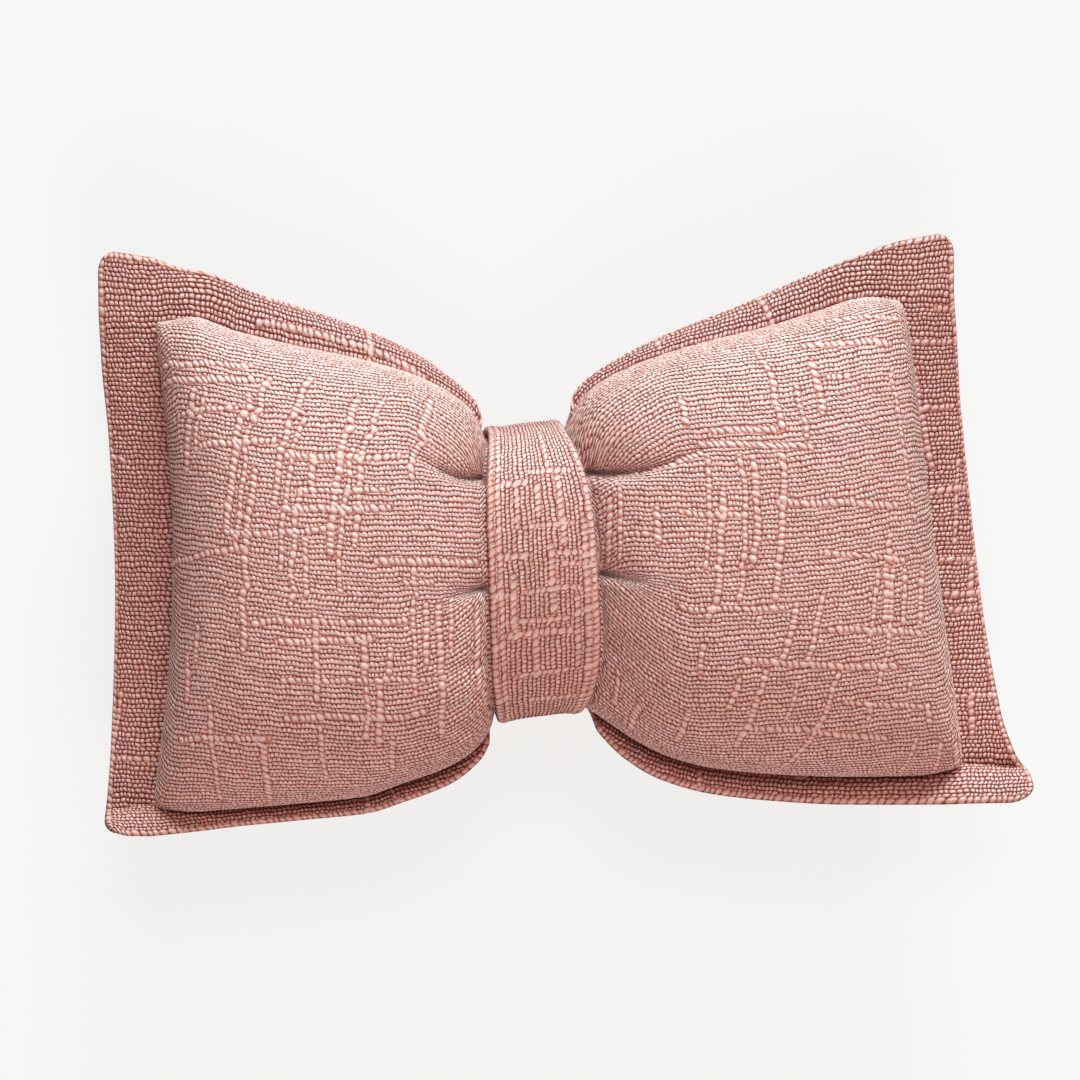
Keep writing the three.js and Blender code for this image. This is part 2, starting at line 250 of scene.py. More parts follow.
def on_seam_plane(at, across):
    height = height_share(across)
    share = (1 + height) / 2
    middle = (section["topX"](at) + section["bottomX"](at)) / 2
    power = mix(WAIST_BOW, 2, np.minimum(outside_band(at) / END_ROUNDING, 1))
    bow = (at - middle) * (1 - np.abs(height) ** power)
    drawn_in = (
        SIDE_BOW["left"] * smooth(BOW_REACH, 0, at - SEAMS["left"])
        - SIDE_BOW["right"] * smooth(BOW_REACH, 0, SEAMS["right"] - at)
    )
    x = mix(section["bottomX"](at), section["topX"](at), share) + bow + drawn_in * (1 - height**2)
    return x, mix(section["bottomY"](at), section["topY"](at), share)


def flange_width(end, at):
    """Width of the flange along the top or bottom seam."""
    return np.hypot(flange[end + "Out"](at), flange[end + "Lift"](at))


def side_reach(side, height):
    """How far the side flange reaches out of its seam."""
    return side_flange[side + "Out"](height) + SIDE_BOW[side] * (1 - height**2)


def end_fullness(at):
    inside = np.minimum(at - SEAMS["left"], SEAMS["right"] - at)
    left = 1 - np.clip(inside / END_ROUNDING, 0, 1)
    return (1 - left ** (2 / ALONG)) ** (HEIGHT / 2)


def crease_depth(face, at, y):
    depth = np.zeros(np.broadcast(at, y).shape)
    for side, of_face, start, bend, reach, deep, width in CREASES:
        if of_face != face:
            continue
        distance = BAND_LEFT - at if side == "left" else at - BAND_RIGHT
        near = np.clip(distance, 0, reach)
        fade = np.minimum(near / CREASE_RISE, 1) * (1 - near / reach) ** CREASE_POWER
        middle = start + bend * near**2
        wide = width * np.where(y > middle, CREASE_ABOVE, CREASE_BELOW)
        fold = (np.abs(y - middle) / wide) ** CREASE_POWER_ACROSS
        depth = depth + deep * fade * np.exp(-fold)
    return depth


def filling_depth(face, at, across, y):
    full = np.maximum(np.cos(across * pi / 2), 0) ** HEIGHT * end_fullness(at)
    return np.maximum(full * (section[face](at) - crease_depth(face, at, y)), 0)


def flange_run(out, lift, share, forward_first=False):
    """How far out and forward the flange has come at a share of its width."""
    turn = np.abs(lift) / np.hypot(out, lift) * (1 - share)
    if forward_first:
        return out * share * (1 - turn), lift * share * (1 + turn)
    return out * share * (1 + turn), lift * share * (1 - FLANGE_BEND * turn)


def round_tip(p, q, square):
    a = np.clip((p - square) / (1 - square), 0, None)
    b = np.clip((q - square) / (1 - square), 0, None)
    both = (a > 0) & (b > 0)
    round_p = square + (1 - square) * a * np.sqrt(1 - b * b / 2)
    round_q = square + (1 - square) * b * np.sqrt(1 - a * a / 2)
    return np.where(both, round_p, p), np.where(both, round_q, q)


def flange_middle(side, end, at, across, p, q):
    """Middle layer of the flange; p reaches out of the side seam and q of the top or bottom."""
    away = 1 if end == "top" else -1
    x, y = on_seam_plane(at, across)
    tip_up = TIPS[side, end][0]
    y = y + tip_up * p * q
    nudge = 0.5  # mm on either side, for the seam's direction
    x0, y0 = on_seam_plane(np.maximum(at - nudge, SEAMS["left"]), across)
    x1, y1 = on_seam_plane(np.minimum(at + nudge, SEAMS["right"]), across)
    long = np.hypot(x1 - x0, y1 - y0)
    normal_x, normal_y = (y0 - y1) / long, (x1 - x0) / long
    out, lift = flange_run(flange[end + "Out"](at), flange[end + "Lift"](at), q, end == "bottom")
    inner = np.clip(1 - p, 0, 1)
    x = x + normal_x * away * out * inner
    y = y + mix(normal_y, 1, 1 - inner) * away * out
    height = height_share(across)
    side_out, side_lift = flange_run(
        side_reach(side, height), side_flange[side + "Lift"](height), p
    )
    cut_x, cut_y = corner_cut(at, height)
    seamwards = (1 - np.maximum(p, q)) ** 2
    x = x + (-1 if side == "left" else 1) * side_out + cut_x * seamwards
    y = y + cut_y * seamwards
    return np.stack(np.broadcast_arrays(x, y, lift + side_lift), -1)


def running_total(steps):
    return np.concatenate(([0], np.cumsum(steps)))


def path_lengths(points):
    """Length from the first of a line's points to each of them."""
    return running_total(np.linalg.norm(np.diff(points, axis=0), axis=-1))


def unit(vectors):
    return vectors / np.maximum(np.linalg.norm(vectors, axis=-1, keepdims=True), 1e-9)


def grid_normals(points):
    """Normals of a grid of points, out of the face whose first axis runs along x."""
    along = np.gradient(points, axis=0)
    across = np.gradient(points, axis=1)
    return unit(np.cross(along, across))


# --- The weave: one formula that shapes the meshes and shades them ---
ROW_PITCH = 2.95  # mm between rows
BEAD_PITCH = 2.6  # mm between the beads of a row
WARP_SLUB, WEFT_SLUB = (4.5, 0.2), (4.7, 0.15)  # width in mm, and how much it differs from line to line


class Term:
    """A value in a shader, so that a formula written for arrays also makes nodes."""

    def __init__(self, tree, socket):
        self.tree, self.socket = tree, socket

    def made(self, operation, *values):
        node = self.tree.nodes.new("ShaderNodeMath")
        node.operation = operation
        for place, value in enumerate(values):
            if isinstance(value, Term):
                self.tree.links.new(value.socket, node.inputs[place])
            else:
                node.inputs[place].default_value = float(value)
        return Term(self.tree, node.outputs[0])

    def call(self, operation, *others):
        return self.made(operation, self, *others)

    def __add__(self, other):
        return self.call("ADD", other)

    def __sub__(self, other):
        return self.call("SUBTRACT", other)

    def __mul__(self, other):
        return self.call("MULTIPLY", other)

    def __rsub__(self, other):
        return self.made("SUBTRACT", other, self)

    def __pow__(self, other):
        return self.call("POWER", other)

    __radd__ = __add__
    __rmul__ = __mul__


def either(operation, arrays):
    return lambda *values: (
        values[0].call(operation, *values[1:]) if isinstance(values[0], Term) else arrays(*values)
    )


sine = either("SINE", np.sin)
whole = either("FLOOR", np.floor)
size = either("ABSOLUTE", np.abs)
least = either("MINIMUM", np.minimum)
most = either("MAXIMUM", np.maximum)
root = either("SQRT", lambda v: np.sqrt(np.maximum(v, 0)))


def ramp(low, high, value):
    share = least(most((value - low) * (1 / (high - low)), 0.0), 1.0)
    return share * share * (3.0 - share * 2.0)


def bead_cells(s, t):
    """The row and bead that a place belongs to, and its place in that bead from 0 to 1."""
    row = whole(t)
    up = t - row
    phase = sine(row * 2.4) * 3.1
    lean = (sine(row * 1.9 + 0.7) * 0.3 + 0.25) * (up - 0.5)
    uneven = sine(s * 0.83 + row * 1.3) * 0.2 + sine(s * 2.3 + row * 2.7) * 0.1
    shifted = s + phase + lean + uneven
    bead = whole(shifted)
    return row, bead, shifted - bead, up


def chance(a, b):
    """A number from 0 to 1 that looks random but is the same for the same row and bead."""
    value = sine(a * 1.37 + b * 2.73) * 91.7
    return value - whole(value)


def weave_height(s, t, warp, weft, parted):
    """Height of the cloth's surface: 0 in the holes, 1 on a bead and more on a slub.

    A row is a round band with beads along its upper side. The more they are parted, the lower
    the band is.
    """
    row, bead, along, up = bead_cells(s, t)
    x = size(along * 2.0 - 1.0)
    y = up * 2.0 - 1.0
    bead_y = y - 0.05 + (chance(bead, row) - 0.5) * 0.2
    bead_slope = most(bead_y * 1.05, bead_y * -1.05)
    dome = 1.0 - x**2.6 - bead_slope**2.4
    beads = root(most(dome, 0.0)) * (chance(row, bead) * 0.22 + 0.87)
    band_slope = most((y + 0.3) * 1.33, (y + 0.3) * -1.43)
    gap = ramp(0.7, 0.82, chance(bead * 1.3 + 5.0, row)) * 0.4
    band_high = 0.9 - parted * 0.68 - gap * (1 - parted)
    band = root(most(1.0 - band_slope * band_slope, 0.0)) * band_high
    rows = most(beads, band)
    beside = ramp(0.9, 1.15, warp) * ramp(0.9, 1.15, weft)
    rows = rows * (beside * 0.35 + 0.65)
    knots = slub_height(warp, t * 0.7 + s * 0.16 + sine(t * 0.7) * 0.25)
    lumps = slub_height(weft, s * 0.64 + t * 0.26 + sine(s * 0.9) * 0.2)
    return most(rows, most(knots, lumps))


def slub_height(off, along):
    """A chain of fat beads: "off" is 0 on its middle line and 1 at its edge."""
    bead = whole(along)
    place = size((along - bead) * 2.0 - 1.0)
    wide = off * (sine(bead * 4.1) * 0.14 + 1.0)
    dome = 1.0 - wide * wide - (place**2.2) * 0.93
    return root(most(dome, 0.0)) * (sine(bead * 2.9) * 0.1 + 1.1)


# Slubs that show in the photo, listed as the points of each line in its pixels, first of the
# lines up the cloth and then of those along it
PHOTO_SIZE = 1080
LEFT_UP = (
    (270,378, 262,392, 256,414, 254,423),
    (248,397, 241,420, 236,445, 232,475, 229,505, 226,533),
    (249,428, 246,458, 242,488, 239,515, 235,549),
    (255,472, 251,500, 246,530, 245,564, 242,595, 243,620, 244,648),
    (310,378, 300,399, 290,419, 284,441, 280,463, 276,490, 275,503),
    (303,412, 296,438, 291,465, 287,490, 283,520, 280,572), (312,462, 311,487),
    (302,490, 296,511, 294,550, 291,572, 291,605), (306,538, 305,565, 305,597),
    (358,400, 349,420, 343,440, 339,463, 335,490, 332,520, 329,555),
    (354,446, 350,475, 345,505, 341,540, 340,592),
    (383,400, 373,423, 365,446, 361,475, 358,507, 354,545),
    (432,401, 427,418, 421,434, 414,455, 412,478), (204,385, 199,415, 196,450),
    (194,390, 189,428, 186,470), (315,615, 316,645, 317,700), (320,725, 321,750, 325,777),
    (363,637, 365,660, 365,675), (366,688, 368,715, 367,740), (390,650, 389,672),
    (380,680, 379,700, 380,715, 379,745), (415,565, 414,600, 414,640, 415,695),
    (426,605, 426,665), (438,605, 439,640, 441,665, 443,690, 442,735), (452,600, 452,650),
    (478,610, 479,690), (391,738, 393,768), (208,700, 211,740, 214,765, 220,800),
    (257,733, 263,750, 266,772, 271,800), (197,625, 196,660), (188,655, 187,700),
)
LEFT_ALONG = (
    (160,371, 178,366, 204,363, 252,366), (158,388, 178,380, 204,379, 252,380),
    (175,419, 190,412, 220,408, 235,409), (203,446, 222,443, 276,440), (286,456, 398,457),
    (298,491, 388,490), (283,509, 390,508), (228,532, 325,529),
    (162,563, 180,560, 204,554, 245,548), (376,562, 478,563), (402,583, 432,582),
    (250,623, 278,620, 405,620), (277,642, 372,640), (281,681, 392,679, 445,677),
    (285,718, 333,716, 425,712), (180,740, 268,738),
)
RIGHT_UP = (
    (757,352, 763,362, 768,371, 772,381, 775,395, 777,408, 780,418, 782,430),
    (782,452, 784,470, 784,490, 783,520, 780,540, 779,560, 778,575, 775,598),
    (796,388, 798,396, 802,409, 804,416, 806,426, 806,438),
    (811,362, 814,370, 817,382, 820,392, 821,400, 823,412),
    (680,398, 684,406, 685,416, 687,424),
    (706,454, 708,464, 709,484, 710,494, 709,530, 708,548, 706,572),
    (723,492, 723,518, 722,526, 721,538, 720,550, 719,568, 718,581, 715,605, 708,620),
    (703,646, 701,659, 700,672),
    (739,456, 742,470, 746,484, 746,530, 744,558, 742,568, 740,594, 739,601),
    (753,458, 756,476, 757,500, 757,540, 755,552, 753,564),
    (620,486, 619,500, 620,540, 619,560), (609,500, 609,540, 607,564),
    (657,510, 657,526, 658,542), (760,614, 757,622),
    (796,605, 795,616, 792,629, 785,653, 781,659),
    (823,594, 819,609, 818,622, 814,644, 810,655, 806,666),
    (877,570, 878,583, 876,598, 871,635, 870,642), (887,568, 888,583, 886,618),
    (893,568, 892,598, 891,627, 888,651, 883,668, 879,685), (905,568, 905,598, 904,625),
    (922,568, 922,588, 920,622), (912,677, 910,690), (766,672, 762,690, 758,696),
    (740,679, 736,690, 730,707), (798,685, 796,696, 790,712, 787,717),
    (757,703, 753,712, 747,729, 736,746),
    (839,675, 835,685, 824,716, 817,729, 807,744, 794,759, 783,766), (870,703, 869,718),
    (929,705, 929,725), (916,738, 912,751, 901,772), (942,742, 938,759, 933,772),
    (955,746, 960,768), (618,672, 616,690, 614,703), (640,705, 633,718, 630,729),
    (690,712, 683,725, 677,740), (893,368, 896,400, 901,425, 907,470, 915,520),
    (890,536, 890,560),
)
RIGHT_ALONG = (
    (803,324, 825,321, 855,318, 875,317, 899,319), (803,346, 840,343, 870,341, 890,344),
    (828,376, 848,376), (713,431, 775,430), (700,444, 750,445, 800,446, 812,448),
    (625,535, 648,534), (780,503, 850,503, 895,507), (680,512, 700,514, 740,516),
    (820,552, 850,555, 880,558, 905,560), (600,479, 625,475, 650,470, 675,463, 700,454),
    (679,607, 720,609, 786,609), (827,630, 850,630, 875,630, 925,635),
    (742,660, 775,662, 860,666, 896,666), (844,703, 898,705, 929,707),
    (751,729, 803,729, 825,733, 888,738),
)
LEFT_FLANGE_UP = (
    (112,420, 110,470), (118,600, 117,650),
)
LEFT_FLANGE_ALONG = (
    (258,325, 274,327, 296,331, 333,341, 370,352, 408,369, 425,381), (265,302, 300,313),
    (108,455, 130,462),
)
RIGHT_FLANGE_UP = (
    (970,560, 968,600), (970,690, 971,735),
)
RIGHT_FLANGE_ALONG = (
    (935,308, 955,308), (910,343, 955,341), (912,409, 950,406), (920,491, 960,488),
    (938,559, 977,558), (943,594, 979,593), (950,609, 977,608), (949,696, 994,694),
)
SEEN_SLUBS = {
    "left": (LEFT_UP, LEFT_ALONG),
    "right": (RIGHT_UP, RIGHT_ALONG),
    "left flange": (LEFT_FLANGE_UP, LEFT_FLANGE_ALONG),
    "right flange": (RIGHT_FLANGE_UP, RIGHT_FLANGE_ALONG),
}


def random_slubs(seed, along_span, across_span, columns, rows):
    """Lines in the cloth's own millimetres, for the parts that don't show."""
    generator = np.random.default_rng(seed)
    warps, wefts = [], []
    for _ in range(columns):
        s, t = generator.uniform(*along_span), generator.uniform(*across_span)
        long, lean = generator.uniform(18, 75) / 2, generator.uniform(-5, 5)
        warps.append([(s - lean, t - long), (s + lean, t + long)])
    for _ in range(rows):
        s, t = generator.uniform(*along_span), generator.uniform(*across_span)
        long = generator.uniform(16, 70) / 2
        wefts.append([(s - long, t), (s + long, t + generator.uniform(-1, 1))])
    return warps, wefts


def photo_pixels(points):
    """Where points of the pillow's frame show in the photo, and how near the camera they are."""
    right, up, away = camera_axes()
    distance = CAMERA["distance"] / MM
    near = points @ away
    scale = PHOTO_SIZE / (CAMERA["frame_width"] / MM) * distance / (distance - near)
    return PHOTO_SIZE / 2 + scale * (points @ right), PHOTO_SIZE / 2 - scale * (points @ up), near


def seen_slubs(part, points, s, t):
    """The charted slubs of a part as lines in the cloth's own millimetres."""
    column, row, near = photo_pixels(points)

    def on_cloth(x, y):
        off = (column - x) ** 2 + (row - y) ** 2 - near * 0.05
        place = np.unravel_index(np.argmin(off), off.shape)
        return s[place], t[place]

    return [
        [[on_cloth(x, y) for x, y in zip(line[::2], line[1::2])] for line in lines]
        for lines in SEEN_SLUBS[part]
    ]


def slub_distance(slubs, s, t, width, uneven):
    """Distance from the nearest slub's middle line, where 1 is its edge."""
    nearest = np.full(s.shape, 2.0)
    for k, line in enumerate(slubs):
        wide = width * (1 + uneven * np.sin(k * 2.3)) / 2
        wave = 0.3 * np.sin((s + t) * 0.21 + k * 1.7)
        for (s0, t0), (s1, t1) in zip(line, line[1:]):
            long = max(np.hypot(s1 - s0, t1 - t0), 0.1)
            way = (s1 - s0) / long, (t1 - t0) / long
            along = (s - s0) * way[0] + (t - t0) * way[1]
            across = (t - t0) * way[0] - (s - s0) * way[1] - wave
            beyond = np.maximum(np.maximum(-along, along - long), 0)
            nearest = np.minimum(nearest, np.hypot(across, beyond) / wide)
    return nearest


class Weave:
    """Where each point of a piece lies on its cloth: rows, beads and slubs."""

    def __init__(self, s, t, slubs, parted):
        self.parted = parted
        warps, wefts = slubs
        self.warp = slub_distance(warps, s, t, *WARP_SLUB)
        self.weft = slub_distance(wefts, s, t, *WEFT_SLUB)
        wander = 0.35 * np.sin(s * 0.045 + t * 0.031) + 0.22 * np.sin(s * 0.21 + t * 0.09)
        wander += 0.22 * np.sin(s * 0.57 + 2 * np.sin(t * 0.06)) + 0.5 * np.sin(t * 0.31 + s * 0.01)
        self.t = (t + wander) / ROW_PITCH
        self.s = (s + 0.6 * np.sin(t * 0.05 + s * 0.02)) / BEAD_PITCH

    def height(self):
        return weave_height(self.s, self.t, self.warp, self.weft, self.parted)

    def add_to(self, maps):
        """Add the two maps that the cloth's material reads."""
        maps["Weave"].append(np.stack([self.s, self.t], -1))
        maps["Slub"].append(np.stack([self.warp, self.weft], -1))


RELIEF = 1.0  # mm from the foot of a bead to its top
GROUND = 0.7  # the share of that which counts as the cloth's own surface
HOLE_FLOOR = 0.4  # the height that the meshes' holes are filled up to
PARTED = {"lobe": 0.1, "flange": 0.8, "band": 0.4}  # how far beads stand apart


def mesh_height(weave):
    """The weave's height without the depth of its finest holes, which are only shaded."""
    return np.maximum(weave.height(), HOLE_FLOOR)


def raised(points, weave, amount=1.0):
    """Points moved out by the weave. The amount is less where the cloth turns in a seam."""
    out = RELIEF * (mesh_height(weave) - GROUND) * amount
    return points + grid_normals(points) * out[..., None]


# --- Meshes ---
def make_piece(name, points, faces, weld, maps, material):
    """A smooth mesh from raw points; weld gives each raw point the one that it shares."""
    loops = np.concatenate([np.asarray(face) for face in faces[1]] + [faces[0].ravel()])
    totals = np.concatenate([
        np.array([len(face) for face in faces[1]], int), np.full(len(faces[0]), 4)
    ])
    starts = running_total(totals[:-1])
    used, vertex = np.unique(weld[loops], return_inverse=True)
    mesh = bpy.data.meshes.new(name)
    mesh.vertices.add(len(used))
    mesh.loops.add(len(loops))
    mesh.polygons.add(len(totals))
    mesh.vertices.foreach_set("co", ((points[used] + PLACE) * MM).astype(np.float32).ravel())
    mesh.loops.foreach_set("vertex_index", vertex.astype(np.int32).ravel())
    mesh.polygons.foreach_set("loop_start", starts.astype(np.int32))
    mesh.polygons.foreach_set("use_smooth", np.ones(len(totals), bool))
    for label, values in maps.items():
        layer = mesh.uv_layers.new(name=label)
        layer.data.foreach_set("uv", values[loops].astype(np.float32).ravel())
    mesh.update(calc_edges=True)
    mesh.validate()
    mesh.materials.append(material)
    piece = bpy.data.objects.new(name, mesh)
    bpy.context.scene.collection.objects.link(piece)
    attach(piece, "root")
    return piece


def grid_quads(index, keep=None):
    """Quads of a grid of point numbers, all of them or those of the kept cells."""
    quads = np.stack([index[:-1, :-1], index[1:, :-1], index[1:, 1:], index[:-1, 1:]], -1)
    return quads.reshape(-1, 4) if keep is None else quads[keep]


def without_repeats(ring, weld):
    """A face's corners without those that are welded into one."""
    kept = []
    for k in ring:
        if weld[k] not in [weld[other] for other in kept]:
            kept.append(k)
    return kept


def new_maps():
    return {"Weave": [], "Slub": [], "OFBake": []}


def joined(parts):
    """The points or map places of several grids as one list."""
    return np.concatenate([part.reshape(-1, part.shape[-1]) for part in parts])


def evenly_by_length(path, low, high, count):
    """Steps from low to high that are about as long everywhere on the surface."""
    dense = np.linspace(low, high, 1500)
    points = path(dense)
    lengths = np.linalg.norm(np.diff(points, axis=0), axis=-1).mean(axis=-1)
    total = running_total(lengths)
    steps = np.interp(np.linspace(0, total[-1], count), total, dense)
    steps[0], steps[-1] = low, high
    return steps


def arc_lengths(points, axis, start):
    """Length along each grid line, counted from the line's point number start."""
    steps = np.linalg.norm(np.diff(points, axis=axis), axis=-1)
    lengths = np.concatenate([np.zeros_like(np.take(steps, [0], axis)), np.cumsum(steps, axis)], axis)
    return lengths - np.take(lengths, [start], axis)


SEAM_BLEND = 4.0  # mm of filling over which a lobe leaves the seam plane
UNDER_BAND = 15.0  # mm that a lobe and its flange run on under the band
LOBE_GRID = (221, 321)  # points along a lobe and across it, both odd
LOBE_SIZE = (230, 330)  # about how many mm these span
SEAM_FADE = 3.0  # mm from a lobe's seam over which its weave rises
GATHERED = 50.0  # mm beside the band where the cloth is gathered into creases
GATHERED_BELOW = {"left": 0.5, "right": 0.85}  # share of it that the lower creases take up
CREASE_BLEND, CREASE_BLEND_GROWTH = 2.5, 0.25  # mm at the band, and more for each mm beside it
MIDDLE_ROW = -12.0  # height on the face of the row from which the rows are counted
STRETCHED = 0.55  # share of a side wall's height that its beads count, as the cloth is drawn tight


def lobe_points(face, at, across):
    x, y = on_seam_plane(at, across)
    cut_x, cut_y = corner_cut(at, height_share(across))
    x, y = x + cut_x, y + cut_y
    sign = 1 if face == "front" else -1
    filling = filling_depth(face, at, across, y)
    depth = filling + half_thickness(at) * np.minimum(filling / SEAM_BLEND, 1)
    z = np.maximum(sign * depth, -SEAM_HEIGHT)
    return np.stack(np.broadcast_arrays(x, y, z), -1)


def lobe_steps(side):
    """Steps along and across a lobe, from under the band to the side seam."""
    sign = -1 if side == "left" else 1
    edge = BAND_LEFT if side == "left" else BAND_RIGHT
    probes = np.array([-0.8, -0.4, 0, 0.4, 0.8])
    at = evenly_by_length(
        lambda v: lobe_points("front", v[:, None], probes[None]), edge - sign * UNDER_BAND,
        SEAMS[side], LOBE_GRID[0],
    )
    places = edge + sign * np.array([12, 40, 80, 120, 160])
    across = evenly_by_length(
        lambda v: lobe_points("front", places[None], v[:, None]), -1.0, 1.0, LOBE_GRID[1]
    )
    return (at[::-1] if side == "left" else at), across


def lobe_cloth(points, side, face, band_side):
    """Where each point lies on the cloth: along its rows and across them, in mm.

    Beside the band the cloth is gathered into creases: the rows above the first one follow the
    top seam and those below the second one the bottom seam.
    """
    flat = points.copy()
    flat[..., 0] = 0
    middle = int(np.argmin(np.abs(points[points.shape[0] // 2, :, 1] - MIDDLE_ROW)))
    t = arc_lengths(flat, 1, middle)
    edge = int(np.argmin(np.abs(band_side[:, 0] - GATHERED)))
    blend = CREASE_BLEND + CREASE_BLEND_GROWTH * band_side
    creases = [crease for crease in CREASES if crease[:2] == (side, face)]
    moved = np.zeros_like(t)
    gatherings = (creases[0], -1, 1.0), (creases[1], 0, -GATHERED_BELOW[side])
    for (_, _, start, bend, reach, _, _), seam, way in gatherings:
        crease_y = start + bend * np.minimum(band_side, reach) ** 2
        at_crease = np.argmin(np.abs(points[..., 1] - crease_y), axis=1)[:, None]
        beyond = (t - np.take_along_axis(t, at_crease, 1)) * np.sign(way)
        gathered = np.maximum((t[edge, seam] - t[:, seam]) * np.sign(way), 0)[:, None]
        moved = moved + way * gathered * smooth(-1, 1, beyond / blend)
    flat = points * (1, 0, STRETCHED)
    s = arc_lengths(flat, 0, points.shape[0] - 1 if side == "left" else 0)
    return s, t + moved


BACK_SLUBS = {
    "left": random_slubs(5, (-230, 0), (-160, 140), 42, 22),
    "right": random_slubs(9, (0, 240), (-160, 140), 42, 22),
}


def make_lobe(side, material):
    at, across = lobe_steps(side)
    n, m = len(at), len(across)
    at2, across2 = np.meshgrid(at, across, indexing="ij")
    raw, maps = [], new_maps()
    u = np.linspace(0, 1, n)[:, None] + 0 * across[None]
    v = np.linspace(0, 1, m)[None] + 0 * at[:, None]
    for face in ("front", "back"):
        smooth_points = lobe_points(face, at2, across2)
        s, t = lobe_cloth(smooth_points, side, face, outside_band(at2))
        slubs = BACK_SLUBS[side]
        if face == "front":
            slubs = seen_slubs(side, smooth_points, s, t)
        weave = Weave(s, t, slubs, PARTED["lobe"])
        to_side = u if side == "left" else 1 - u
        from_seam = np.minimum(np.minimum(v, 1 - v) * LOBE_SIZE[1], to_side * LOBE_SIZE[0])
        amount = smooth(0, SEAM_FADE, from_seam)
        cloth_points = raised(smooth_points, weave, amount if face == "front" else -amount)
        cloth_points[..., 2] = np.maximum(cloth_points[..., 2], -SEAM_HEIGHT)
        raw.append(cloth_points)
        weave.add_to(maps)
        offset = 0 if face == "front" else 0.505
        maps["OFBake"].append(np.stack([0.005 + offset + 0.48 * u, 0.01 + 0.98 * v], -1))
    points = joined(raw)
    maps = {label: joined(parts) for label, parts in maps.items()}
    front = np.arange(n * m).reshape(n, m)
    back = front + n * m
    weld = np.arange(2 * n * m)
    seam_column = 0 if side == "left" else n - 1
    for shared in (back[:, 0], back[:, -1], back[seam_column, :]):
        weld[shared] = shared - n * m
    quads = [grid_quads(front)]
    coarse = back[::2, ::2]
    inner = np.zeros((coarse.shape[0] - 1, coarse.shape[1] - 1), bool)
    inner[1:-1, 1:-1] = True
    quads.append(grid_quads(coarse, inner)[:, ::-1])
    rings = []
    for i in range(coarse.shape[0] - 1):
        for j in range(coarse.shape[1] - 1):
            if inner[i, j]:
                continue
            corners = [(2 * i, 2 * j), (2 * i, 2 * j + 2), (2 * i + 2, 2 * j + 2), (2 * i + 2, 2 * j)]
            ring = []
            for (a, b), (c, d) in zip(corners, corners[1:] + corners[:1]):
                ring.append(back[a, b])
                on_seam = (a == c == seam_column) or (b == d and b in (0, m - 1))
                if on_seam:
                    ring.append(back[(a + c) // 2, (b + d) // 2])
            rings.append(ring)
    cap = n - 1 if side == "left" else 0
    for j in range(0, m - 1, 2):
        ring = [front[cap, j], front[cap, j + 1], front[cap, j + 2], back[cap, j + 2], back[cap, j]]
        rings.append(without_repeats(ring[::-1] if side == "left" else ring, weld))
    piece = make_piece("lobe_" + side, points, (np.concatenate(quads), rings), weld, maps, material)
    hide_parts("cushion")


def seam_steps(side):
    """Steps along the top and bottom seams from the side seam to the band, and up the side seam."""
    sign = -1 if side == "left" else 1
    edge = BAND_LEFT if side == "left" else BAND_RIGHT
    at = evenly_by_length(
        lambda v: np.stack(on_seam_plane(v[:, None], np.array([[-0.999, 0.999]])), -1),
        SEAMS[side], edge - sign * UNDER_BAND, LOBE_GRID[0],
    )
    across = evenly_by_length(
        lambda v: np.stack(on_seam_plane(np.full((len(v), 1), SEAMS[side]), v[:, None]), -1),
        -1.0, 1.0, LOBE_GRID[1],
    )
    return at, across


EDGE_ROUND = 3.0  # mm from the flange's free edge over which it is rounded
HEM_MIDDLE, HEM_HALF = 2.2, 2.3  # mm from the free edge to the rolled hem's middle, and its half width
INSIDE_SEAM = 5  # grid lines of the flange that run on inside the seam


def flange_steps():
    """Shares from the free edge at 1 to the seam at 0, closer together round the edge."""
    return np.concatenate((1 - np.array([0, 0.006, 0.02, 0.045, 0.08]), np.linspace(0.885, 0, 26)))


